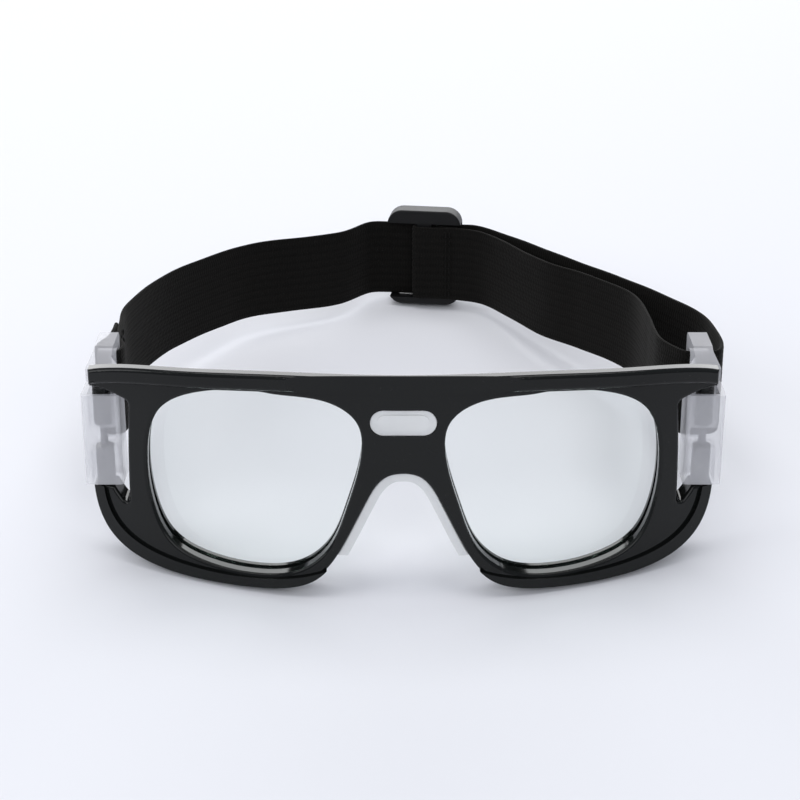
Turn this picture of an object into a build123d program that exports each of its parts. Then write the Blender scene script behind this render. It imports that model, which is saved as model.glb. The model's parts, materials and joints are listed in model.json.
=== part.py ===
"""Sports protective goggles: a wrapped frame with two lenses, a silicone nose
saddle, two hinged side clips and an elastic head strap with a sliding adjuster.

Everything is modelled upright, with X to the wearer's left, Y towards the back of
the head and Z up.  The last section leans the finished pieces back until the
adjuster and the lower rims share one table surface.  Millimetres.
"""
import os
from math import atan2, cos, degrees, radians, sin, sqrt

from build123d import *

# ---- frame ----
lens_gap = 21.0          # between the two lens openings
lens_width = 57.2
lens_height = 52.0
lower_rim = 3.6          # rim under a lens opening
upper_rim = 6.4          # from a lens opening to the top of the brow
side_rim = 5.4           # rim outside a lens opening
arm_reach = 10.2         # brow arm and lower wing beyond that rim
wrap_radius = 170.0      # plan radius of the frame's front
rim_depth = 7.0          # front to back
edge_round = 0.8
rear_round = 0.5
crotch_round = 1.0
underarm_round = 1.6
bridge_height = 27.4     # from the top of the nose arch to the top of the brow

# ---- brow hood and lower ridge ----
hood_height = 4.4
hood_proud = 2.6
hood_round = 1.0
fold_height = 0.7        # soft step under the hood
crest_depth = 3.2        # the hood's crest, front to back
crest_height = 3.2       # how far the brow drops behind the crest
ridge_height = 2.7
ridge_proud = 0.9

# ---- lenses ----
lens_thickness = 2.0
lens_setback = 3.2       # from the frame's front to the lens
lens_bite = 0.8          # how far a lens edge enters its groove
lens_fit = 0.05

# ---- bridge window and nose saddle ----
window_width = 17.3
window_height = 7.2
window_drop = 13.1       # middle of the window below the top of the brow
plug_fit = 0.15
plug_recess = 0.5
saddle_thickness = 2.2
saddle_depth = 13.0
saddle_fit = 0.2
saddle_end_level = 10.5
saddle_setback = 1.2
web_thickness = 1.5
web_width = 21.0
pill_width = 13.5
pill_height = 4.4

# ---- hinge ----
knuckle_diameter = 5.0
knuckle_inset = 3.0      # hinge axis in from the end of the arm
wing_width = 5.8
wing_top = 22.3
knuckle_length = 10.4
arm_drop = 12.2          # underside of the brow arms below the top of the brow
knuckle_gap = 0.25
pin_diameter = 2.0
pin_fit = 0.04
pin_head_diameter = 3.6
pin_head_height = 0.9
pin_sink = 2.8           # how far the pin goes into the wing
head_drop = 10.4         # seat of the pin's head below the top of the brow

# ---- side clips ----
clip_wall = 1.2
clip_outer_wall = 1.6
pocket_room = 0.9        # between a knuckle and the walls around it
pocket_inner_room = 1.5
wall_gap_low = 0.7       # from the wing to the clip's front wall
wall_gap_high = 1.0      # from the clip's front wall to the brow arm
clip_drop = 2.3          # how far the clip hangs below the wing's top
clip_lift = 2.2          # how far its shoulder stands above the arm's underside
clip_taper = 1.3         # the plate stands this far inside the column's outer face
clip_plate = 5.2
clip_length = 31.0       # front wall to rear bar
clip_rise = 3.6          # how much higher the rear of a clip stands
slot_opening = 3.6
rear_bar = 4.0
slot_room = 0.5          # above and below the strap
slot_round = 1.2
tail_round = 1.6
arm_sweep = 7.7          # radius kept free around the axis, above and below the walls

# ---- strap and adjuster ----
strap_width = 25.0
strap_thickness = 1.3
strap_lift = 3.3         # middle of the strap above the middle of the clip
strap_gap = 0.1          # between strap and plastic
joint_gap = 0.2          # between the stretches of the strap
eye_length = 17.0        # sewn double length behind the left clip
loop_room = 4.6          # from the right clip's plate to the loose loop, outside
loop_room_inside = 6.8   # and inside
loop_back = 7.0          # the loop's outer side goes this far behind the clip
loop_back_inside = 5.0
seam_lift = 0.3          # extra room where the band's end comes off the adjuster
adjuster_x = 7.5
adjuster_y = 163.0
adjuster_turn = -8.0     # degrees in plan
adjuster_width = 24.4
adjuster_height = 32.5
adjuster_rail = 2.3      # height of its lower rail
adjuster_room = 0.7      # above the strap in the adjuster's openings
end_bar_width = 3.4
centre_bar_width = 4.6
bar_thickness = 1.8
adjuster_round = 5.0
adjuster_edge = 0.5

# ---- derived places ----
reach = 80.0             # longer than the frame is deep
lens_x = lens_gap / 2
rim_x = lens_x + lens_width + side_rim
half_width = rim_x + arm_reach
frame_height = lower_rim + lens_height + upper_rim
arch_height = frame_height - bridge_height
window_level = frame_height - window_drop
arm_level = frame_height - arm_drop
head_seat = frame_height - head_drop
lower_knuckle_top = wing_top + knuckle_length
upper_knuckle_bottom = arm_level - knuckle_length
pin_foot = wing_top - pin_sink
clip_front_bottom = wing_top + wall_gap_low
clip_front_top = arm_level - wall_gap_high
clip_foot = wing_top - clip_drop
clip_shoulder = arm_level + clip_lift
strap_level = (clip_foot + clip_shoulder) / 2 + strap_lift


def front_y(x, radius=wrap_radius):
    """Depth of the frame's front surface at x."""
    return wrap_radius - sqrt(radius**2 - x**2)


def lens_point(u, v):
    """A point of the lens opening, from shares of its width and height."""
    return (lens_x + u * lens_width, lower_rim + v * lens_height)


hinge_x = half_width - knuckle_inset
hinge_y = front_y(hinge_x) + rim_depth / 2
strap_low = strap_level - strap_width / 2
strap_top = strap_level + strap_width / 2

opening_points = [
    lens_point(u, v)
    for u, v in [
        (0.42, 1.0), (0.73, 0.972), (0.93, 0.845), (1.0, 0.58), (0.98, 0.31),
        (0.895, 0.115), (0.72, 0.025), (0.50, 0.0), (0.30, 0.04), (0.165, 0.165),
        (0.075, 0.40), (0.010, 0.67), (0.025, 0.865), (0.15, 0.968),
    ]
]
rim_bottom = (lens_x + 0.55 * lens_width, 0)
arch_points = [
    (0, arch_height),
    lens_point(-0.03, 0.47),
    lens_point(0.155, 0.075),
    rim_bottom,
]
wing_points = [
    rim_bottom,
    (half_width - 14.0, 0),
    (half_width - 1.0, 0.16 * wing_top),
    (half_width, wing_top),
]
brow_points = [
    (half_width - 0.4, frame_height - 5.8),
    (rim_x - 15.5, frame_height - 1.9),
    (lens_x + 0.5 * lens_width, frame_height - 0.5),
    (0, frame_height),
]


def side_corners(*places):
    """Corners of the sketch being drawn that lie at the given places."""
    corners = []
    for x, y in zip(places[::2], places[1::2]):
        corners.append(BuildSketch._get_context().vertices().sort_by_distance((x, y))[0])
    return corners


def ring(outer, inner):
    """Plan of a wall between two radii about the wrap's centre."""
    with BuildSketch(Plane.XY) as plan:
        with Locations((0, wrap_radius)):
            Circle(outer)
            Circle(inner, mode=Mode.SUBTRACT)
    return plan.sketch


# ---- outlines drawn flat: across the frame, and up ----
with BuildSketch() as half_outline:
    with BuildLine():
        Spline(arch_points, tangents=[(1, 0), (1, 0)])
        wing_under = Bezier(*wing_points)
        wing_end = Line(wing_under @ 1, (half_width - wing_width, wing_top))
        crotch = (rim_x + 0.2, wing_top - 5.0)
        wing_inside = ThreePointArc(wing_end @ 1, (rim_x + 2.3, wing_top - 2.9), crotch)
        rim_outside = ThreePointArc(
            crotch, (rim_x, lower_rim + 0.55 * lens_height), (rim_x - 1.0, arm_level - 1.6)
        )
        arm_under = ThreePointArc(
            rim_outside @ 1,
            (half_width - 5.5, arm_level + 0.2),
            (half_width - 0.4, arm_level + 0.6),
        )
        arm_end = Line(arm_under @ 1, brow_points[0])
        brow_top = Spline(brow_points, tangents=[(-1, 0.35), (-1, 0)])
        Line(brow_top @ 1, (0, arch_height))
    make_face()
    corners = half_outline.vertices().filter_by(lambda v: v.X > 1)
    fillet(corners.sort_by_distance(crotch)[0], radius=crotch_round)
    corners = half_outline.vertices().filter_by(lambda v: v.X > 1)
    fillet(corners.sort_by_distance(rim_outside @ 1)[0], radius=underarm_round)

with BuildSketch() as opening:
    with BuildLine():
        Spline(opening_points, periodic=True)
    make_face()

with BuildSketch() as under_hood:
    with BuildLine():
        hood_under = Spline(
            [(x, z - hood_height) for x, z in reversed(brow_points)],
            tangents=[(1, 0), (1, -0.35)],
        )
        Polyline(
            hood_under @ 1,
            (half_width + 5, brow_points[0][1] - hood_height - 2),
            (half_width + 5, -5),
            (0, -5),
            hood_under @ 0,
        )
    make_face()

with BuildSketch() as over_ridge:
    with BuildLine():
        ridge_top = Bezier(
            (lens_x - 2, 0.35 * lens_height),
            (lens_x + 0.14 * lens_width, -3.2),
            (lens_x + 0.55 * lens_width, ridge_height),
            (half_width - 18, ridge_height),
            (half_width - ridge_height - 1, 0.17 * wing_top),
            (half_width - ridge_height, wing_top + 1),
        )
        Polyline(
            ridge_top @ 1,
            (half_width + 5, wing_top + 1),
            (half_width + 5, brow_points[0][1] - hood_height - fold_height - 3),
            (half_width - 0.4, brow_points[0][1] - hood_height - fold_height),
        )
        Spline(
            [(x, z - hood_height - fold_height) for x, z in brow_points],
            tangents=[(-1, 0.35), (-1, 0)],
        )
        Polyline(
            (0, frame_height - hood_height - fold_height),
            (0, 0.35 * lens_height),
            ridge_top @ 0,
        )
    make_face()

with BuildSketch() as over_step:
    with BuildLine():
        step_top = Spline(
            [(x, z - crest_height) for x, z in reversed(brow_points)],
            tangents=[(1, 0), (1, -0.35)],
        )
        Polyline(
            step_top @ 1,
            (half_width + 5, brow_points[0][1] - crest_height - 1.5),
            (half_width + 5, frame_height + 5),
            (0, frame_height + 5),
            step_top @ 0,
        )
    make_face()


def beside(curve, amount, start, end, count):
    """Points to the left of a flat curve, at a distance from it."""
    places = []
    for i in range(count + 1):
        t = start + (end - start) * i / count
        heading = curve % t
        places.append(curve @ t + Vector(-heading.Y, heading.X) * amount)
    return places


def grown_opening(amount):
    """The lens opening, larger all round."""
    with BuildSketch() as grown:
        with BuildLine():
            edge = opening.edges()[0]
            Spline(beside(edge, amount * turning(edge), 0, 1, 32)[:-1], periodic=True)
        make_face()
    return grown.sketch


def turning(edge):
    """1 where a closed flat edge runs clockwise, else -1."""
    return 1 if (edge @ 0.25 - edge @ 0).cross(edge @ 0.5 - edge @ 0.25).Z < 0 else -1


# ---- front frame: half of it is cut from a wrapped wall, then mirrored ----
front_radius = wrap_radius + hood_proud
groove_outer = wrap_radius - lens_setback + lens_fit
with BuildPart() as front_frame:
    with BuildSketch(Plane.XZ):
        add(half_outline.sketch)
    extrude(amount=-reach)
    with BuildSketch(Plane.XY.offset(-1)):
        add(ring(front_radius, wrap_radius - rim_depth))
    extrude(amount=frame_height + 2, mode=Mode.INTERSECT)
    # below the brow the wall steps back to the ridge's level
    with BuildSketch(Plane.XY.offset(-2)):
        add(ring(front_radius + 1, wrap_radius + ridge_proud))
    below_brow = extrude(amount=frame_height, mode=Mode.PRIVATE)
    with BuildSketch(Plane.XZ):
        add(under_hood.sketch)
    below_brow = below_brow & extrude(amount=-reach, mode=Mode.PRIVATE)
    add(below_brow, mode=Mode.SUBTRACT)
    # above the ridge it steps back once more
    with BuildSketch(Plane.XY.offset(-2)):
        add(ring(wrap_radius + ridge_proud + 0.5, wrap_radius))
    above_ridge = extrude(amount=frame_height, mode=Mode.PRIVATE)
    with BuildSketch(Plane.XZ):
        add(over_ridge.sketch)
    above_ridge = above_ridge & extrude(amount=-reach, mode=Mode.PRIVATE)
    add(above_ridge, mode=Mode.SUBTRACT)
    with BuildSketch(Plane.XZ):
        add(opening.sketch)
    extrude(amount=-reach, mode=Mode.SUBTRACT)
    walls = front_frame.faces().filter_by(GeomType.CYLINDER)
    brow_wall = walls.filter_by(lambda f: abs(f.radius - front_radius) < 0.01)
    brow_edges = brow_wall.edges().filter_by(lambda e: e.center().Y > 0.1)
    fillet(brow_edges, radius=hood_round)
    walls = front_frame.faces().filter_by(GeomType.CYLINDER)
    main_wall = walls.filter_by(lambda f: abs(f.radius - wrap_radius) < 0.01)
    fillet(main_wall.edges().sort_by(SortBy.LENGTH)[-1], radius=edge_round)
    walls = front_frame.faces().filter_by(GeomType.CYLINDER)
    rear_wall = walls.filter_by(lambda f: abs(f.radius - wrap_radius + rim_depth) < 0.01)
    fillet(rear_wall.edges().filter_by(lambda e: e.center().X > 1), radius=rear_round)
    walls = front_frame.faces().filter_by(GeomType.CYLINDER)
    main_wall = walls.filter_by(lambda f: abs(f.radius - wrap_radius) < 0.01)
    outline = main_wall.edges().filter_by(lambda e: 1 < e.length < 50 and e.center().X > 1)
    fillet(outline.filter_by(lambda e: e.center().Z < arm_level + 1), radius=edge_round)
    # behind the hood's crest the brow is lower
    with BuildSketch(Plane.XY.offset(-2)):
        add(ring(front_radius - crest_depth, wrap_radius - rim_depth - 1))
    behind_crest = extrude(amount=frame_height + 5, mode=Mode.PRIVATE)
    with BuildSketch(Plane.XZ):
        add(over_step.sketch)
    behind_crest = behind_crest & extrude(amount=-reach, mode=Mode.PRIVATE)
    add(behind_crest, mode=Mode.SUBTRACT)
    # knuckles, the bore that the pin passes down, and the seat of its head
    with BuildSketch(Plane.XY.offset(wing_top)):
        with Locations((hinge_x, hinge_y)):
            Circle(knuckle_diameter / 2)
    extrude(amount=lower_knuckle_top - wing_top)
    with BuildSketch(Plane.XY.offset(upper_knuckle_bottom)):
        with Locations((hinge_x, hinge_y)):
            Circle(knuckle_diameter / 2)
    extrude(amount=arm_level + 3 - upper_knuckle_bottom)
    with BuildSketch(Plane.XY.offset(pin_foot)):
        with Locations((hinge_x, hinge_y)):
            Circle(pin_diameter / 2 + pin_fit)
    extrude(amount=frame_height, mode=Mode.SUBTRACT)
    with BuildSketch(Plane.XY.offset(head_seat)):
        with Locations((hinge_x, hinge_y)):
            Circle(pin_head_diameter / 2 + pin_fit)
    extrude(amount=frame_height, mode=Mode.SUBTRACT)
    # groove for the lens
    with BuildSketch(Plane.XY.offset(-1)):
        add(ring(groove_outer, groove_outer - lens_thickness - 2 * lens_fit))
    groove_cut = extrude(amount=frame_height + 2, mode=Mode.PRIVATE)
    with BuildSketch(Plane.XZ):
        add(grown_opening(lens_bite + lens_fit))
    groove_cut = groove_cut & extrude(amount=-reach, mode=Mode.PRIVATE)
    add(groove_cut, mode=Mode.SUBTRACT)
    mirror(about=Plane.YZ)
    # window through the bridge
    with BuildSketch(Plane.XZ):
        with Locations((0, window_level)):
            SlotOverall(window_width, window_height)
    extrude(amount=-reach, mode=Mode.SUBTRACT)

# ---- lenses ----
with BuildPart() as lens_right:
    with BuildSketch(Plane.XZ):
        add(grown_opening(lens_bite))
    extrude(amount=-reach)
    with BuildSketch(Plane.XY.offset(-1)):
        add(ring(wrap_radius - lens_setback, wrap_radius - lens_setback - lens_thickness))
    extrude(amount=frame_height + 2, mode=Mode.INTERSECT)

with BuildPart() as lens_left:
    add(lens_right.part.mirror(Plane.YZ))

# ---- nose saddle, with the web and plug that hold it in the bridge window ----
with BuildSketch() as saddle_outline:
    with BuildLine():
        arch = Spline(arch_points, tangents=[(1, 0), (1, 0)], mode=Mode.PRIVATE)
        level_share = 0.62
        under = Spline(beside(arch, -saddle_fit, 0, level_share, 8))
        inside = Spline(beside(arch, -saddle_fit - saddle_thickness, 0, level_share, 8))
        Line(under @ 0, inside @ 0)
        Line(under @ 1, inside @ 1)
    make_face()
    with Locations((0, saddle_end_level)):
        Rectangle(
            lens_gap + 20, arch_height, align=(Align.CENTER, Align.MIN), mode=Mode.INTERSECT
        )

with BuildPart() as nose_pad:
    with BuildSketch(Plane.XZ):
        add(saddle_outline.sketch)
    extrude(amount=-reach)
    with BuildSketch(Plane.XY.offset(-1)):
        add(ring(wrap_radius - saddle_setback, wrap_radius - saddle_setback - saddle_depth))
    extrude(amount=frame_height + 2, mode=Mode.INTERSECT)
    mirror(about=Plane.YZ)
    # web behind the bridge, from the saddle up past the window
    web_y = front_y(web_width / 2) + rim_depth + saddle_fit
    with BuildSketch(Plane.XZ.offset(-web_y)):
        with BuildLine():
            web_base = arch_height - saddle_fit - saddle_thickness / 2
            Polyline(
                (-web_width / 4, web_base),
                (web_width / 4, web_base),
                (web_width / 2, window_level - window_height / 2),
                (web_width / 2, window_level + window_height / 2 + 2),
                (-web_width / 2, window_level + window_height / 2 + 2),
                (-web_width / 2, window_level - window_height / 2),
                close=True,
            )
        make_face()
    extrude(amount=-web_thickness)
    with BuildSketch(Plane.XZ.offset(-plug_recess)):
        with Locations((0, window_level)):
            SlotOverall(window_width - 2 * plug_fit, window_height - 2 * plug_fit)
    extrude(amount=plug_recess - web_y - web_thickness / 2)
    with BuildSketch(Plane.XZ.offset(-plug_recess / 3)):
        with Locations((0, window_level)):
            SlotOverall(pill_width, pill_height)
    extrude(amount=-rim_depth / 2)

# ---- hinge pins ----
with BuildPart() as hinge_pin_right:
    with BuildSketch(Plane.XY.offset(pin_foot)):
        with Locations((hinge_x, hinge_y)):
            Circle(pin_diameter / 2)
    extrude(amount=head_seat - pin_foot)
    with BuildSketch(Plane.XY.offset(head_seat)):
        with Locations((hinge_x, hinge_y)):
            Circle(pin_head_diameter / 2)
    extrude(amount=pin_head_height)
    top_edge = hinge_pin_right.edges().group_by(Axis.Z)[-1]
    fillet(top_edge, radius=pin_head_height / 3)

with BuildPart() as hinge_pin_left:
    add(hinge_pin_right.part.mirror(Plane.YZ))

# ---- side clips: a hollow column round the knuckles, and a slotted plate behind it ----
clip_inner = hinge_x - knuckle_diameter / 2 - pocket_inner_room - clip_wall
clip_outer = hinge_x + knuckle_diameter / 2 + pocket_room + clip_outer_wall
clip_front = hinge_y - knuckle_diameter / 2 - pocket_room - clip_wall
pocket_back = hinge_y + knuckle_diameter / 2 + pocket_room
clip_back = clip_front + clip_length
plate_outer = clip_outer - clip_taper
plate_inner = plate_outer - clip_plate
slot_back = clip_back - rear_bar

with BuildPart() as side_clip_right:
    with BuildSketch(Plane.XY.offset(clip_foot - 5)):
        with BuildLine():
            Polyline(
                (clip_inner, clip_front),
                (clip_outer, clip_front),
                (clip_outer, pocket_back + 3),
                (plate_outer, pocket_back + 9),
                (plate_outer, clip_back),
                (plate_inner, clip_back),
                (plate_inner, pocket_back + 7),
                (clip_inner, pocket_back + 1.5),
                close=True,
            )
        make_face()
        fillet(side_corners(clip_inner, clip_front, clip_outer, clip_front), radius=1.0)
    extrude(amount=clip_shoulder - clip_foot + 15)
    # side view: the rear stands higher than the front
    with BuildSketch(Plane.YZ):
        with BuildLine():
            Polyline(
                (clip_front - 1, clip_foot),
                (pocket_back, clip_foot),
                (clip_back - 6, clip_foot + clip_rise),
                (clip_back, clip_foot + clip_rise),
                (clip_back, clip_shoulder + clip_rise),
                (clip_back - 12, clip_shoulder + clip_rise),
                (pocket_back + 2, clip_shoulder),
                (clip_front - 1, clip_shoulder),
                close=True,
            )
        make_face()
    extrude(amount=clip_outer + 10, mode=Mode.INTERSECT)
    fillet(side_clip_right.edges().filter_by(Axis.X).group_by(Axis.Y)[-1], radius=tail_round)
    # above and below the walls the column is open for the frame's two arms
    for low, high in ((clip_foot - 5, clip_front_bottom), (clip_front_top, clip_shoulder + 5)):
        with BuildSketch(Plane.XY.offset(low)):
            with Locations((hinge_x, hinge_y)):
                Circle(arm_sweep)
        extrude(amount=high - low, mode=Mode.SUBTRACT)
    # pockets for the frame's knuckles, above and below the clip's own one
    for low, high in (
        (clip_foot, lower_knuckle_top + knuckle_gap),
        (upper_knuckle_bottom - knuckle_gap, clip_shoulder),
    ):
        with BuildSketch(Plane.XY.offset(low)):
            with BuildLine():
                Polyline(
                    (clip_inner + clip_wall, clip_front + clip_wall),
                    (clip_outer - clip_outer_wall, clip_front + clip_wall),
                    (clip_outer - clip_outer_wall, pocket_back),
                    (clip_inner + clip_wall, pocket_back),
                    close=True,
                )
            make_face()
        extrude(amount=high - low, mode=Mode.SUBTRACT)
    with BuildSketch(Plane.XY.offset(clip_foot - 5)):
        with Locations((hinge_x, hinge_y)):
            Circle(pin_diameter / 2 + pin_fit)
    extrude(amount=clip_shoulder, mode=Mode.SUBTRACT)
    # slot for the strap, in front of the rear bar
    with BuildSketch(Plane.YZ):
        with Locations((slot_back - slot_opening / 2, strap_level)):
            RectangleRounded(slot_opening, strap_width + 2 * slot_room, slot_round)
    extrude(amount=clip_outer + 10, mode=Mode.SUBTRACT)

with BuildPart() as side_clip_left:
    add(side_clip_right.part.mirror(Plane.YZ))

# ---- strap: one elastic band, in the stretches that move with different pieces ----
band = strap_thickness
turn = radians(adjuster_turn)
along = Vector(cos(turn), sin(turn))
across = Vector(-sin(turn), cos(turn))
centre = Vector(adjuster_x, adjuster_y)


def at_adjuster(u, v):
    """Plan point from distances along and across the adjuster."""
    return centre + along * u + across * v


def between(start, end, share_x, share_y):
    """Plan point at shares of the way from start to end."""
    return (
        start[0] + share_x * (end[0] - start[0]),
        start[1] + share_y * (end[1] - start[1]),
    )


def stretch(points, radii):
    """A length of band in plan: straight runs with rounded corners."""
    with BuildPart() as piece:
        with BuildSketch(Plane.XY.offset(strap_low)):
            with BuildLine():
                FilletPolyline(*points, radius=radii)
            trace(line_width=band)
        extrude(amount=strap_width)
    return piece.part


slot_y = slot_back - slot_opening / 2
plate_x = (plate_inner + plate_outer) / 2
outside = clip_plate / 2 + strap_gap + band / 2
wrap_front = -(2 * band + bar_thickness + 3 * strap_gap)
wrap_rear = -(band + strap_gap)
run_half = adjuster_width / 2 + 1.5

eye_end = clip_back + eye_length
eye_skin = (band + strap_gap) / 2
with BuildPart() as strap_eye_left:
    add(stretch(
        [
            (-plate_x - eye_skin, eye_end),
            (-plate_x - eye_skin, clip_back + 5.5),
            (-plate_x - outside, clip_back + 0.5),
            (-plate_x - outside, slot_y),
            (-plate_x + outside, slot_y),
            (-plate_x + outside, clip_back + 0.5),
            (-plate_x + eye_skin, clip_back + 5.5),
            (-plate_x + eye_skin, eye_end),
        ],
        [3.0, 3.0, 1.2, 1.2, 3.0, 3.0],
    ))

with BuildPart() as strap_run_left:
    left_start = (-plate_x + eye_skin, eye_end + joint_gap)
    left_end = tuple(at_adjuster(-run_half - 2.4, 0))
    add(stretch(
        [
            left_start,
            between(left_start, left_end, -0.031, 0.142),
            between(left_start, left_end, 0.106, 0.424),
            between(left_start, left_end, 0.438, 0.752),
            between(left_start, left_end, 0.825, 0.864),
            left_end,
            at_adjuster(-run_half - joint_gap, 0),
        ],
        [30, 40, 40, 10, 3],
    ))

with BuildPart() as strap_pass:
    with BuildSketch(Plane.XY.offset(strap_low)):
        with Locations(Location((adjuster_x, adjuster_y), adjuster_turn)):
            Rectangle(2 * run_half, band)
    extrude(amount=strap_width)

loop_x = plate_outer + loop_room
loop_inner_x = plate_inner - loop_room_inside
with BuildPart() as strap_outer_right:
    outer_start = tuple(at_adjuster(run_half + 2.4, 0))
    outer_end = (loop_x, clip_back + loop_back + joint_gap)
    add(stretch(
        [
            at_adjuster(run_half + joint_gap, 0),
            outer_start,
            between(outer_start, outer_end, 0.761, 0.6065),
            between(outer_start, outer_end, 0.994, 0.858),
            outer_end,
        ],
        [3, 60, 30],
    ))

with BuildPart() as strap_turn_right:
    add(stretch(
        [
            (loop_x, clip_back + loop_back),
            (loop_x, slot_y),
            (plate_inner - 3, slot_y),
            (loop_inner_x, clip_back + loop_back_inside),
        ],
        [4.0, 3.0],
    ))

with BuildPart() as strap_inner_right:
    inner_start = (loop_inner_x - joint_gap, clip_back + loop_back_inside + joint_gap)
    inner_end = tuple(at_adjuster(run_half + 0.8, wrap_front - seam_lift))
    add(stretch(
        [
            inner_start,
            between(inner_start, inner_end, 0.012, 0.146),
            between(inner_start, inner_end, 0.055, 0.375),
            between(inner_start, inner_end, 0.529, 0.667),
            inner_end,
            at_adjuster(run_half - 1.5 + joint_gap, wrap_front - seam_lift),
        ],
        [30, 30, 60, 2],
    ))

with BuildPart() as strap_wrap:
    add(stretch(
        [
            at_adjuster(run_half - 1.5, wrap_front - seam_lift),
            at_adjuster(4.5, wrap_front),
            at_adjuster(-centre_bar_width / 2 - strap_gap - band / 2, wrap_front),
            at_adjuster(-centre_bar_width / 2 - strap_gap - band / 2, wrap_rear),
            at_adjuster(centre_bar_width / 2 + 0.8, wrap_rear),
            at_adjuster(centre_bar_width / 2 + 4, wrap_front + band + strap_gap),
            at_adjuster(run_half - 3, wrap_front + band + strap_gap),
        ],
        [2, 0.9, 0.9, 1.5, 1.5],
    ))

# ---- adjuster: rails above and below, two end bars behind the band, a centre bar before it ----
rail_front = wrap_rear - band / 2 - strap_gap - bar_thickness
rail_back = band / 2 + strap_gap + bar_thickness
adjuster_foot = strap_low - strap_gap - adjuster_rail
slot_height = strap_width + strap_gap + adjuster_room
slot_drop = adjuster_height / 2 - adjuster_rail - slot_height / 2
adjuster_plane = Plane(
    origin=(adjuster_x, adjuster_y, adjuster_foot + adjuster_height / 2),
    x_dir=(along.X, along.Y, 0),
    z_dir=(across.X, across.Y, 0),
)
with BuildPart() as adjuster:
    with BuildSketch(adjuster_plane.offset(rail_front)):
        RectangleRounded(adjuster_width, adjuster_height, adjuster_round)
        with Locations((0, slot_drop)):
            Rectangle(adjuster_width + 2, slot_height, mode=Mode.SUBTRACT)
    extrude(amount=rail_back - rail_front)
    with BuildSketch(adjuster_plane.offset(rail_back - bar_thickness)):
        RectangleRounded(adjuster_width, adjuster_height, adjuster_round)
        with Locations((0, slot_drop)):
            Rectangle(
                adjuster_width - 2 * end_bar_width, slot_height, mode=Mode.SUBTRACT
            )
    extrude(amount=bar_thickness)
    with BuildSketch(adjuster_plane.offset(rail_front)):
        Rectangle(centre_bar_width, adjuster_height - 2)
    extrude(amount=bar_thickness)
    depth_axis = Axis(adjuster_plane.origin, adjuster_plane.z_dir)
    end_faces = adjuster.faces().filter_by(depth_axis).sort_by(depth_axis)
    outer_edges = (end_faces[0].edges() + end_faces[-1].edges()).filter_by(
        lambda e: abs(e.center().Z - adjuster_plane.origin.Z + slot_drop) > slot_height / 2 + 0.5
    )
    fillet(outer_edges, radius=adjuster_edge)

pieces = {
    "front_frame": front_frame,
    "lens_right": lens_right,
    "lens_left": lens_left,
    "nose_pad": nose_pad,
    "hinge_pin_right": hinge_pin_right,
    "hinge_pin_left": hinge_pin_left,
    "side_clip_right": side_clip_right,
    "side_clip_left": side_clip_left,
    "strap_eye_left": strap_eye_left,
    "strap_run_left": strap_run_left,
    "strap_pass": strap_pass,
    "strap_outer_right": strap_outer_right,
    "strap_turn_right": strap_turn_right,
    "strap_inner_right": strap_inner_right,
    "strap_wrap": strap_wrap,
    "adjuster": adjuster,
}

# ---- lean everything back onto the lower rims and the adjuster ----
rim_foot_y = front_y(rim_bottom[0]) + rim_depth - rear_round
adjuster_foot_y = adjuster_y + rail_back
lean = degrees(atan2(adjuster_foot, adjuster_foot_y - rim_foot_y))
leaning = Location((0, 0, 0), (-lean, 0, 0))
for piece in pieces.values():
    piece.part.move(leaning)
box = pieces["front_frame"].part.bounding_box()
for piece in pieces.values():
    box = box.add(piece.part.bounding_box())
standing = Location((-box.center().X, -box.center().Y, -box.min.Z))

os.makedirs("parts", exist_ok=True)
for name, piece in pieces.items():
    piece.part.move(standing)
    piece.part.label = name
    export_step(piece.part, f"parts/{name}.step")
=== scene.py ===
import json
from math import cos, radians, sin, sqrt

import bmesh
import bpy
import numpy as np
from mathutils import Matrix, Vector


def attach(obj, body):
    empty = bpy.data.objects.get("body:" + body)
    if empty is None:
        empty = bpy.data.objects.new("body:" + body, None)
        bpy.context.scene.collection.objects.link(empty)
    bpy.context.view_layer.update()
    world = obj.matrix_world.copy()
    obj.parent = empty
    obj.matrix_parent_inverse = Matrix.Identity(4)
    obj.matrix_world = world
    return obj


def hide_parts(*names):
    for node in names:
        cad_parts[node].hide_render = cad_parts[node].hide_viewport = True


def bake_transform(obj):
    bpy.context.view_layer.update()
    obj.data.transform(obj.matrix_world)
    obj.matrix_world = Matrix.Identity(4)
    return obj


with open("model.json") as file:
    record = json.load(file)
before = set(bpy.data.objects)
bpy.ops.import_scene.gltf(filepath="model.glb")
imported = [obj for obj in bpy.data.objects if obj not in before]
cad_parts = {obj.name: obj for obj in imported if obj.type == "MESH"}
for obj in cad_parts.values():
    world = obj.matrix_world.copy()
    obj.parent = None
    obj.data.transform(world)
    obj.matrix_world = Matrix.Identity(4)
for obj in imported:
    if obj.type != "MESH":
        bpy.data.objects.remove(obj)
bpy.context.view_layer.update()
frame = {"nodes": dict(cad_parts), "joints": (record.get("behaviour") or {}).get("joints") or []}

# ---- sizes of the goggles, in millimetres: X to the wearer's left, Y back, Z up the lenses ----
HINGE_X = 80.3
WRAP_RADIUS = 170.0      # plan radius of the frame's front
RIM_DEPTH = 7.0
HINGE_Y = WRAP_RADIUS - sqrt(WRAP_RADIUS**2 - HINGE_X**2) + RIM_DEPTH / 2
HINGE_LEVEL = 36.0
CLIP_BACK = 50.06        # rear end of a side clip
SLOT_Y = 44.26           # middle of the slot in a clip's plate
PLATE_X = 81.4           # middle of a clip's plate
PLATE_HALF = 2.6
BAND_WIDTH = 25.0
BAND_THICKNESS = 1.3
BAND_LEVEL = 39.3        # middle of the band's width
BAND_GAP = 0.1
ADJUSTER = np.array([7.5, 163.0])
ADJUSTER_TURN = radians(-8.0)
CENTRE_BAR = 4.6         # width of the adjuster's centre bar
BAR_THICKNESS = 1.8

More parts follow.
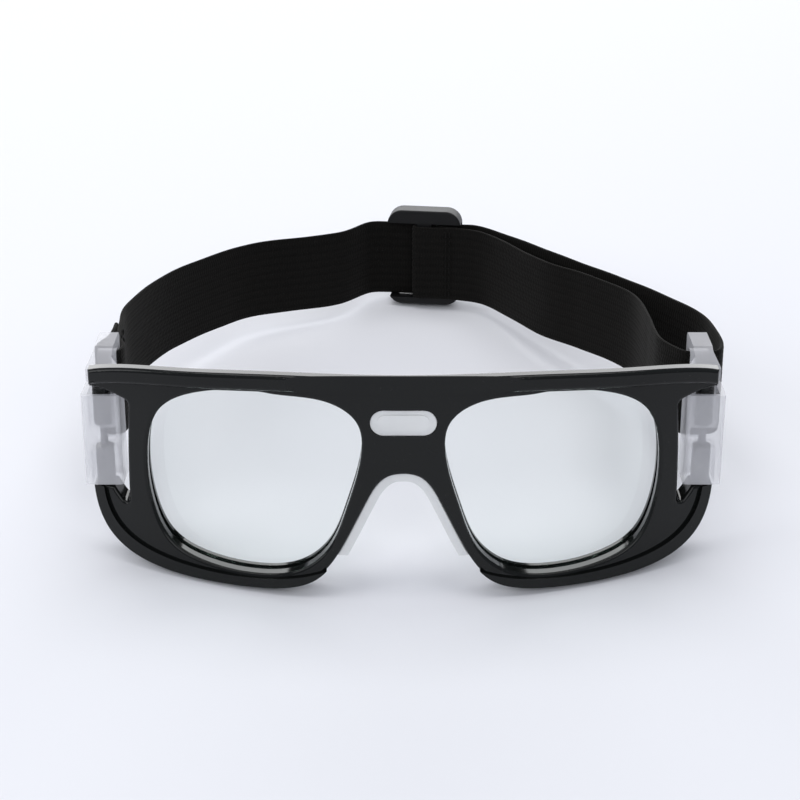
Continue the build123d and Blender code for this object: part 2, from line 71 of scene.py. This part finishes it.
hinges = {joint["name"]: joint for joint in frame["joints"]}
hinge_point = np.array(hinges["clip_right_hinge"]["pos_m"])
up = np.array(hinges["clip_right_hinge"]["axis"])
back = np.array([0.0, up[2], -up[1]])
left = np.array([1.0, 0.0, 0.0])


def place(x, y, z):
    """Goggle sizes in millimetres to points in metres: the hinge is the tie between both."""
    x, y, z = np.broadcast_arrays(x, y, z)
    moved = (y - HINGE_Y)[..., None] * back + (z - HINGE_LEVEL)[..., None] * up
    moved = moved + (x - HINGE_X)[..., None] * left
    return hinge_point + moved / 1000


# ---- shader sums ----
class Wire:
    """A socket that takes part in sums: arithmetic on it adds Math nodes."""

    def __init__(self, finish, socket):
        self.finish = finish
        self.socket = socket

    def math(self, operation, first, second=0.0):
        return self.finish.node("Math", {"operation": operation}, {0: first, 1: second})

    def __add__(self, other):
        return self.math("ADD", self, other)

    def __radd__(self, other):
        return self.math("ADD", other, self)

    def __mul__(self, other):
        return self.math("MULTIPLY", self, other)

    def __rmul__(self, other):
        return self.math("MULTIPLY", other, self)

    def sine(self):
        return self.math("SINE", self)

    def step(self, low, high):
        """0 below low, 1 above high, smooth between."""
        return self.finish.node(
            "MapRange",
            {"interpolation_type": "SMOOTHSTEP"},
            {"Value": self, "From Min": low, "From Max": high},
        )


class Finish:
    """A material made of nodes, with one way to add any of them."""

    def __init__(self, name):
        self.material = bpy.data.materials.new(name)
        self.material.use_nodes = True
        self.tree = self.material.node_tree
        self.tree.nodes.clear()

    def node(self, kind, settings=None, inputs=None, out=0):
        made = self.tree.nodes.new("ShaderNode" + kind)
        for key, value in (settings or {}).items():
            setattr(made, key, value)
        for key, value in (inputs or {}).items():
            if isinstance(value, Wire):
                self.tree.links.new(value.socket, made.inputs[key])
            else:
                made.inputs[key].default_value = value
        return Wire(self, made.outputs[out])

    def point(self):
        return self.node("TexCoord", out="Object")

    def attribute(self, name):
        return self.node("Attribute", {"attribute_name": name}, out="Fac")

    def noise(self, where, scale, detail=3.0, rough=0.5):
        return self.node(
            "TexNoise",
            inputs={"Vector": where, "Scale": scale, "Detail": detail, "Roughness": rough},
        )

    def stretched(self, where, scale):
        return self.node("Mapping", inputs={"Vector": where, "Scale": scale})

    def blend(self, share, first, second):
        """A colour between two, at share."""
        return self.node(
            "Mix",
            {"data_type": "RGBA"},
            {"Factor": share, "A": self.colour(first), "B": self.colour(second)},
            out=2,
        )

    def colour(self, value):
        return value if isinstance(value, Wire) else (*value, 1.0)

    def bump(self, height, strength, distance):
        return self.node(
            "Bump", inputs={"Height": height, "Strength": strength, "Distance": distance}
        )

    def surface(self, **inputs):
        """The plastic, metal or cloth shader, named inputs with spaces as underscores."""
        ready = {}
        for key, value in inputs.items():
            name = key.replace("_", " ").title()
            ready[name.replace("Ior", "IOR")] = value
        return self.node("BsdfPrincipled", inputs=ready)

    def done(self, shader):
        output = self.tree.nodes.new("ShaderNodeOutputMaterial")
        self.tree.links.new(shader.socket, output.inputs["Surface"])
        return self.material


def black_gloss():
    """Polished black moulding: faint orange peel, hairline marks and a little dust."""
    f = Finish("polished_black_frame")
    where = f.point()
    peel = f.noise(where, 260.0, 2.0)
    hairs = f.noise(f.stretched(where, (900.0, 120.0, 160.0)), 1.0, 4.0, 0.7).step(0.62, 0.74)
    dust = f.noise(where, 2600.0, 1.0).step(0.74, 0.80)
    cloud = f.noise(where, 35.0, 3.0)
    tone = f.blend(cloud, (0.0042, 0.0048, 0.0047), (0.0078, 0.0086, 0.0082))
    tone = f.blend(dust * 0.35, tone, (0.10, 0.10, 0.10))
    return f.done(f.surface(
        base_color=tone,
        roughness=0.06 + cloud * 0.04 + hairs * 0.07 + dust * 0.2,
        specular_ior_level=0.24,
        normal=f.bump(peel * 0.8 + hairs * 0.2, 0.05, 0.0004),
    ))


def clear_lens():
    """Hard-coated clear lens: see-through, with a faint green reflection and wipe marks."""
    f = Finish("clear_coated_lens")
    where = f.point()
    wipes = f.noise(f.stretched(where, (60.0, 40.0, 260.0)), 1.0, 4.0, 0.6).step(0.5, 0.75)
    mirror = f.surface(
        base_color=(0.86, 1.0, 0.92, 1.0), metallic=1.0, roughness=0.03 + wipes * 0.05
    )
    through = f.node("BsdfTransparent", inputs={"Color": (0.985, 0.993, 0.989, 1.0)})
    share = f.node("Fresnel", inputs={"IOR": 1.45}) * 0.45 + wipes * 0.003
    return f.done(f.node("MixShader", inputs={0: share, 1: through, 2: mirror}))


def frosted_clip():
    """Frosted see-through plastic with a cool tint, hazier in random patches."""
    f = Finish("frosted_clip_plastic")
    where = f.point()
    haze = f.noise(where, 90.0, 3.0)
    grain = f.noise(where, 1800.0, 2.0)
    tone = f.blend(haze, (0.80, 0.80, 0.845), (0.86, 0.86, 0.89))
    return f.done(f.surface(
        base_color=tone,
        roughness=0.32 + haze * 0.12 + grain * 0.06,
        alpha=0.27 + haze * 0.10,
        ior=1.49,
        normal=f.bump(grain, 0.12, 0.0002),
    ))


def milky_silicone():
    """Milky silicone: soft satin with cloudy depth and fine surface grain."""
    f = Finish("milky_silicone")
    where = f.point()
    cloud = f.noise(where, 120.0, 3.0)
    grain = f.noise(where, 2200.0, 2.0)
    return f.done(f.surface(
        base_color=f.blend(cloud, (0.86, 0.87, 0.87), (0.92, 0.93, 0.93)),
        roughness=0.34 + cloud * 0.10,
        alpha=0.74 + cloud * 0.14,
        ior=1.42,
        coat_weight=0.15,
        coat_roughness=0.25,
        normal=f.bump(grain + cloud * 0.5, 0.10, 0.0003),
    ))


def blackened_steel():
    """Blackened steel of the hinge pins, with fine turned rings and a little wear."""
    f = Finish("blackened_steel")
    where = f.point()
    rings = f.noise(f.stretched(where, (300.0, 300.0, 9000.0)), 1.0, 2.0)
    wear = f.noise(where, 700.0, 3.0).step(0.55, 0.75)
    return f.done(f.surface(
        base_color=f.blend(wear, (0.05, 0.05, 0.055), (0.22, 0.22, 0.23)),
        metallic=0.9,
        roughness=0.28 + rings * 0.14,
        normal=f.bump(rings, 0.2, 0.0001),
    ))


def woven_elastic():
    """Black knitted elastic: lengthwise wales crossed by fine courses, with lint."""
    f = Finish("black_woven_elastic")
    along = f.attribute("along")
    over = f.attribute("over")
    where = f.point()
    courses, wales = 6981.0, 2513.0      # radians per metre along and over the band
    course = (along * courses + (over * wales).sine() * 1.3).sine() * 0.5 + 0.5
    wale = (over * wales).sine() * 0.5 + 0.5
    fuzz = f.noise(where, 3800.0, 2.0, 0.7)
    lint = f.noise(f.stretched(where, (2500.0, 700.0, 2500.0)), 1.0, 2.0).step(0.70, 0.80)
    patch = f.noise(where, 55.0, 2.0)
    knit = course * 0.55 + wale * 0.45
    tone = f.blend(knit, (0.0016, 0.0014, 0.0011), (0.0060, 0.0054, 0.0046))
    tone = f.blend(patch * 0.30, tone, (0.0075, 0.0068, 0.0060))
    tone = f.blend(lint * 0.10, tone, (0.10, 0.10, 0.10))
    return f.done(f.surface(
        base_color=tone,
        roughness=0.82 + fuzz * 0.15,
        specular_ior_level=0.14,
        sheen_weight=0.05,
        sheen_roughness=0.45,
        sheen_tint=(0.6, 0.58, 0.55, 1.0),
        normal=f.bump(knit + fuzz * 0.25, 0.55, 0.00025),
    ))


def thread():
    """Black sewing thread with its twist."""
    f = Finish("black_thread")
    twist = f.noise(f.stretched(f.point(), (3000.0, 6000.0, 3000.0)), 1.0, 2.0)
    return f.done(f.surface(
        base_color=f.blend(twist, (0.003, 0.003, 0.003), (0.011, 0.010, 0.009)),
        roughness=0.62 + twist * 0.2,
        specular_ior_level=0.15,
        normal=f.bump(twist, 0.4, 0.0002),
    ))


def satin_black():
    """Satin black moulding of the adjuster, with a fine spark grain."""
    f = Finish("satin_black_adjuster")
    where = f.point()
    grain = f.noise(where, 2400.0, 2.0)
    cloud = f.noise(where, 90.0, 3.0)
    return f.done(f.surface(
        base_color=f.blend(cloud, (0.0040, 0.0040, 0.0043), (0.0075, 0.0075, 0.0080)),
        roughness=0.34 + cloud * 0.08 + grain * 0.08,
        specular_ior_level=0.22,
        normal=f.bump(grain, 0.18, 0.00015),
    ))


def table_top():
    """Plain pale table with a slow, faint change of tone."""
    f = Finish("pale_table")
    cloud = f.noise(f.point(), 2.0, 2.0)
    return f.done(f.surface(
        base_color=f.blend(cloud, (0.785, 0.792, 0.832), (0.800, 0.807, 0.846)),
        roughness=0.65,
        specular_ior_level=0.2,
    ))


elastic = woven_elastic()
black_thread = thread()
finishes = {
    "front_frame": black_gloss(),
    "lens_right": clear_lens(),
    "nose_pad": milky_silicone(),
    "hinge_pin_right": blackened_steel(),
    "side_clip_right": frosted_clip(),
    "adjuster": satin_black(),
}
finishes["lens_left"] = finishes["lens_right"]
finishes["hinge_pin_left"] = finishes["hinge_pin_right"]
finishes["side_clip_left"] = finishes["side_clip_right"]
for node_name, finish in finishes.items():
    node = frame["nodes"][node_name]
    node.data.materials.clear()
    node.data.materials.append(finish)


# ---- new surfaces ----
def new_piece(mesh, finish):
    """An object at the origin for a mesh, under the mesh's own name."""
    mesh.materials.append(finish)
    piece = bpy.data.objects.new(mesh.name, mesh)
    bpy.context.collection.objects.link(piece)
    return piece


def tube(name, points, finish, values):
    """A tube from a grid of points: rows run along it and each row is one closed section.

    Quads join each section to the next, and each end is closed by one flat face with
    sharp edges.  values are named numbers kept at the points for the material."""
    rows, count = points.shape[:2]
    index = np.arange(rows * count).reshape(rows, count)
    beside = np.roll(index, -1, axis=1)
    quads = np.stack([index[:-1], beside[:-1], beside[1:], index[1:]], axis=-1).reshape(-1, 4)
    flat = points.reshape(-1, 3)
    middle = flat.mean(axis=0)
    a, b, c, d = (flat[quads[:, i]] - middle for i in range(4))
    volume = np.einsum("ij,ij->", np.cross(a, b), c) + np.einsum("ij,ij->", np.cross(a, c), d)
    faces = [tuple(q) for q in (quads if volume > 0 else quads[:, ::-1]).tolist()]
    ends = [tuple(index[0][::-1].tolist()), tuple(index[-1].tolist())]
    faces += ends if volume > 0 else [end[::-1] for end in ends]
    mesh = bpy.data.meshes.new(name)
    mesh.from_pydata(flat.tolist(), [], faces)
    smooth = np.ones(len(mesh.polygons), dtype=bool)
    smooth[-len(ends):] = False
    mesh.polygons.foreach_set("use_smooth", smooth)
    pairs = np.empty(len(mesh.edges) * 2, dtype=np.int64)
    mesh.edges.foreach_get("vertices", pairs)
    row = pairs.reshape(-1, 2) // count
    sharp = (row[:, 0] == row[:, 1]) & ((row[:, 0] == 0) | (row[:, 0] == rows - 1))
    mesh.edges.foreach_set("use_edge_sharp", sharp)
    for key, numbers in values.items():
        layer = mesh.attributes.new(key, "FLOAT", "POINT")
        layer.data.foreach_set("value", np.asarray(numbers, dtype=np.float32).ravel())
    mesh.update()
    return new_piece(mesh, finish)


def smooth_line(points, spacing):
    """An even run of points on the curve through the given ones.

    Each stretch is a cubic whose end slopes are half the step between its neighbours,
    weighted by the root of each step's length, so tight and long steps mix without loops."""
    p = np.asarray(points, float)
    p = np.vstack([2 * p[0] - p[1], p, 2 * p[-1] - p[-2]])
    k = np.sqrt(np.linalg.norm(np.diff(p, axis=0), axis=1))
    k0, k1, k2 = k[:-2, None], k[1:-1, None], k[2:, None]
    a, b, c, d = p[:-3], p[1:-2], p[2:-1], p[3:]
    start = (b - a) / k0 - (c - a) / (k0 + k1) + (c - b) / k1
    end = (c - b) / k1 - (d - b) / (k1 + k2) + (d - c) / k2
    samples = 60             # points on each stretch before they are evened out
    t = np.linspace(0, 1, samples, endpoint=False)[None, :, None]
    h00, h10 = 2 * t**3 - 3 * t**2 + 1, t**3 - 2 * t**2 + t
    h01, h11 = -2 * t**3 + 3 * t**2, t**3 - t**2
    curve = h00 * b[:, None] + h10 * (start * k1)[:, None]
    curve = curve + h01 * c[:, None] + h11 * (end * k1)[:, None]
    curve = np.vstack([curve.reshape(-1, p.shape[1]), p[-2:-1]])
    far = np.concatenate([[0], np.cumsum(np.linalg.norm(np.diff(curve, axis=0), axis=1))])
    even = np.linspace(0, far[-1], max(int(far[-1] / spacing), 2) + 1)
    return np.stack([np.interp(even, far, curve[:, i]) for i in range(p.shape[1])], axis=1), even


def band_section():
    """Section of the band: a flat rectangle with round edges and shallow lengthwise wales.

    Returns thickness and height offsets, once round."""
    half, rib, pitch = BAND_THICKNESS / 2, 0.045, 1.25
    height = BAND_WIDTH / 2 - half
    rise = np.linspace(-height, height, 97)
    face = half - rib + rib * np.cos(2 * np.pi * rise / pitch)
    bend = np.linspace(0, np.pi, 9)[1:-1]
    edge = half - rib
    thick = np.concatenate([face, edge * np.cos(bend), -face[::-1], -edge * np.cos(bend)])
    tall = np.concatenate([
        rise, height + edge * np.sin(bend), rise[::-1], -height - edge * np.sin(bend),
    ])
    return thick, tall


adjuster_along = np.array([cos(ADJUSTER_TURN), sin(ADJUSTER_TURN)])
adjuster_across = np.array([-sin(ADJUSTER_TURN), cos(ADJUSTER_TURN)])


def at_adjuster(u, v):
    """Plan point from distances along and across the adjuster."""
    return tuple(ADJUSTER + adjuster_along * u + adjuster_across * v)


def beside_plate(x, y):
    """Plan point from distances off the middle of the left clip's plate."""
    return (x - PLATE_X, y)


# how far the band's middle line lies off what it runs along
PLATE_PLAY = 0.05
layer = BAND_THICKNESS + BAND_GAP
skin = layer / 2
off_plate = PLATE_HALF + BAND_GAP + BAND_THICKNESS / 2 + PLATE_PLAY
wrap_front = -(2 * BAND_THICKNESS + BAR_THICKNESS + 3 * BAND_GAP)
wrap_rear = -layer
fold = CENTRE_BAR / 2 + BAND_GAP + BAND_THICKNESS / 2

# where the band is cut between its stretches
left_middle = (-59.5, 129.5)
right_outer_middle = (53.5, 124.2)
right_inner_middle = (55.5, 111.0)

# the whole band in plan, from its sewn tail on the left to its sewn end at the adjuster
band_route = [
    beside_plate(-skin, CLIP_BACK + 17),
    beside_plate(-skin, CLIP_BACK + 12),
    beside_plate(-skin - 0.6, CLIP_BACK + 6.5),
    beside_plate(-off_plate + 0.2, CLIP_BACK + 1.2),
    beside_plate(-off_plate - 0.1, CLIP_BACK - 2.5),
    beside_plate(-off_plate + 0.9, SLOT_Y + 0.6),
    beside_plate(0, SLOT_Y - 0.15),
    beside_plate(off_plate - 0.9, SLOT_Y + 0.6),
    beside_plate(off_plate + 0.1, CLIP_BACK - 2.5),
    beside_plate(off_plate - 0.2, CLIP_BACK + 1.2),
    beside_plate(skin + 0.6, CLIP_BACK + 6.5),
    beside_plate(skin, CLIP_BACK + 12),
    beside_plate(skin - 0.2, CLIP_BACK + 17),
    (-81.2, 81.5),
    (-73.2, 108.6),
    left_middle,
    (-48.6, 140.6),
    (-21.0, 152.6),
    at_adjuster(-18.0, -1.2),
    at_adjuster(-12.0, 0),
    at_adjuster(-6.0, 0),
    at_adjuster(0, 0),
    at_adjuster(6.0, 0),
    at_adjuster(12.0, 0),
    at_adjuster(17.0, -0.4),
    right_outer_middle,
    (73.2, 98.0),
    (86.4, 75.0),
    (88.5, 62.0),
    (88.6, 50.0),
    (86.6, SLOT_Y + 0.8),
    (82.0, SLOT_Y - 0.1),
    (78.2, SLOT_Y + 0.3),
    (75.4, 48.0),
    (72.2, 54.5),
    (71.3, 62.0),
    (71.0, 72.0),
    (68.4, 92.5),
    right_inner_middle,
    (45.0, 122.0),
    at_adjuster(20.0, wrap_front - 3.0),
    at_adjuster(12.5, wrap_front - 0.3),
    at_adjuster(4.5, wrap_front),
    at_adjuster(-fold + 0.7, wrap_front),
    at_adjuster(-fold, wrap_front + 0.8),
    at_adjuster(-fold, wrap_rear - 0.8),
    at_adjuster(-fold + 0.7, wrap_rear),
    at_adjuster(1.5, wrap_rear),
    at_adjuster(5.2, wrap_front + 1.9),
    at_adjuster(7.5, wrap_front + layer),
    at_adjuster(11.0, wrap_front + layer),
]
BAND_SPACING = 0.6
band_line, band_far = smooth_line(band_route, BAND_SPACING)
band_heading = np.gradient(band_line, axis=0)
band_heading = band_heading / np.linalg.norm(band_heading, axis=1)[:, None]
band_side = np.stack([-band_heading[:, 1], band_heading[:, 0]], axis=1)


def band_piece(name, start, end):
    """A stretch of the elastic band between two plan points of its line.

    The band's section is carried upright along the line, across its heading, and its
    edges wave by less than a hundredth of its width, as elastic does."""
    first, last = (
        int(np.argmin(np.linalg.norm(band_line - np.array(where), axis=1)))
        for where in (start, end)
    )
    rows = slice(first, last + 1)
    thick, tall = band_section()
    run = band_far[rows, None]
    tall = tall[None, :] * (1 + 0.004 * np.sin(run / 3.1) + 0.003 * np.sin(run / 7.7 + 1))
    x = band_line[rows, 0:1] + band_side[rows, 0:1] * thick
    y = band_line[rows, 1:2] + band_side[rows, 1:2] * thick
    return tube(
        name, place(x, y, BAND_LEVEL + tall), elastic,
        {"along": np.broadcast_to(run, x.shape) / 1000, "over": tall / 1000},
    )


band_left_front = band_piece("band_left_front", band_route[0], left_middle)
band_left_rear = band_piece("band_left_rear", left_middle, at_adjuster(0, 0))
band_right_rear = band_piece("band_right_rear", at_adjuster(0, 0), right_outer_middle)
band_right_front = band_piece("band_right_front", right_outer_middle, right_inner_middle)
band_right_inner = band_piece("band_right_inner", right_inner_middle, band_route[-1])

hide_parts("strap_eye_left")
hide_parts("strap_run_left", "strap_pass")
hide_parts("strap_outer_right")
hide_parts("strap_turn_right")
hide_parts("strap_inner_right", "strap_wrap")


def spot(x, y):
    """A plan point at the band's level."""
    return tuple(place(x, y, BAND_LEVEL).tolist())


spot(-81, 67)
spot(-61, 128)
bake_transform(band_left_front)
spot(-55, 150)
spot(-8, 157)
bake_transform(band_left_rear)
spot(53, 150)
spot(24, 152)
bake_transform(band_right_rear)
spot(80, 58)
spot(61, 112)
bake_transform(band_right_front)
spot(53, 140)
spot(22, 144)
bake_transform(band_right_inner)


def stitch_rows(name, rows, body):
    """Rows of thread on the band: each stitch is a small arched tube, closed at its ends.

    A row is a plan point and the way off the cloth.  A stitch's middle line rises off the
    cloth by lift * sin(pi * share), and its radius swells and shrinks as a half circle."""
    length, pitch, lift, radius = 1.9, 2.55, 0.16, 0.17
    stitches, rings, sides = 9, 7, 8
    blunt = 0.02             # keeps the first and last ring from closing to a point
    share = np.linspace(0, 1, rings)
    turn = np.linspace(0, 2 * np.pi, sides, endpoint=False)
    swell = radius * np.sqrt(np.clip(1 - (2 * share - 1) ** 2, blunt, 1))
    levels = BAND_LEVEL + (np.arange(stitches) - (stitches - 1) / 2) * pitch
    ring = np.arange(sides)
    starts = np.arange(stitches)[:, None] * rings * sides
    gaps = np.arange(rings - 1)[None, :, None] * sides
    points, faces, at = [], [], 0
    for (x, y), off in rows:
        off = np.array(off) / np.linalg.norm(off)
        side = np.array([-off[1], off[0]])
        arch = (lift * np.sin(np.pi * share))[None, :, None]
        wide = swell[None, :, None] * np.cos(turn)[None, None, :]
        high = swell[None, :, None] * np.sin(turn)[None, None, :]
        rise = levels[:, None, None] + (share - 0.5)[None, :, None] * length + 0 * wide
        out = arch + wide
        px = x + off[0] * out + side[0] * high
        py = y + off[1] * out + side[1] * high
        points.append(place(px, py, rise).reshape(-1, 3))
        base = at + starts[:, :, None] + gaps
        here, there = base + ring, base + np.roll(ring, -1)
        faces += np.stack([here, there, there + sides, here + sides], -1).reshape(-1, 4).tolist()
        faces += (at + starts + ring[::-1]).tolist()
        faces += (at + starts + (rings - 1) * sides + ring).tolist()
        at += stitches * rings * sides
    mesh = bpy.data.meshes.new(name)
    mesh.from_pydata(np.vstack(points).tolist(), [], faces)
    mesh.polygons.foreach_set("use_smooth", np.ones(len(mesh.polygons), dtype=bool))
    shell = bmesh.new()
    shell.from_mesh(mesh)
    bmesh.ops.recalc_face_normals(shell, faces=shell.faces)
    shell.to_mesh(mesh)
    shell.free()
    piece = new_piece(mesh, black_thread)
    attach(piece, body)


outer_skin = skin + BAND_THICKNESS / 2
stitch_rows("eye_stitching", [
    (beside_plate(way * outer_skin, CLIP_BACK + behind), (way, 0))
    for behind in (9.5, 10.7, 14.2, 15.4) for way in (-1, 1)
], "clip_left")
stitch_rows("adjuster_stitching", [
    (at_adjuster(u, wrap_front - 0.2 - BAND_THICKNESS / 2), tuple(-adjuster_across))
    for u in (7.6, 8.8)
], "adjuster")

# ---- table, light and camera ----
bpy.ops.mesh.primitive_plane_add(size=6.0, location=(0, 0, 0))
table = bpy.context.object
table.name = "table"
table.data.materials.append(table_top())


def soft_light(name, place_at, look_at, size, power, tint=(1.0, 1.0, 1.0)):
    """A square soft box that faces a point."""
    lamp = bpy.data.lights.new(name, "AREA")
    lamp.shape = "RECTANGLE"
    lamp.size, lamp.size_y = size
    lamp.energy = power
    lamp.color = tint
    holder = bpy.data.objects.new(name, lamp)
    holder.location = place_at
    aim = Vector(look_at) - Vector(place_at)
    holder.rotation_euler = aim.to_track_quat("-Z", "Y").to_euler()
    bpy.context.collection.objects.link(holder)


soft_light("soft_box_over", (0.0, 0.2, 1.2), (0, 0, 0), (1.4, 1.0), 9.0, (1.0, 0.99, 0.98))
soft_light("soft_box_back", (0.0, 1.5, 0.42), (0, 0, 0.05), (2.6, 0.7), 19.0)
soft_light("soft_box_front", (0.0, -1.2, 1.0), (0, 0, 0.02), (1.3, 0.8), 6.0)
soft_light("soft_box_left", (-1.1, -0.2, 0.6), (0, 0, 0.02), (0.5, 0.8), 3.0)

world = bpy.data.worlds.new("studio")
bpy.context.scene.world = world
world.use_nodes = True
sky = world.node_tree.nodes["Background"].inputs
sky["Color"].default_value = (0.80, 0.85, 0.95, 1.0)
sky["Strength"].default_value = 0.40
bpy.context.scene.view_settings.view_transform = "Standard"
bpy.context.scene.view_settings.look = "None"

camera_data = bpy.data.cameras.new("camera")
camera_data.sensor_width = 36.0
camera_data.lens = 86.2
camera = bpy.data.objects.new("camera", camera_data)
camera.location = (-0.0028, -0.4922, 0.3105)
camera.rotation_euler = Vector((0, 0.8525, -0.5227)).to_track_quat("-Z", "Y").to_euler()
bpy.context.collection.objects.link(camera)
bpy.context.scene.camera = camera
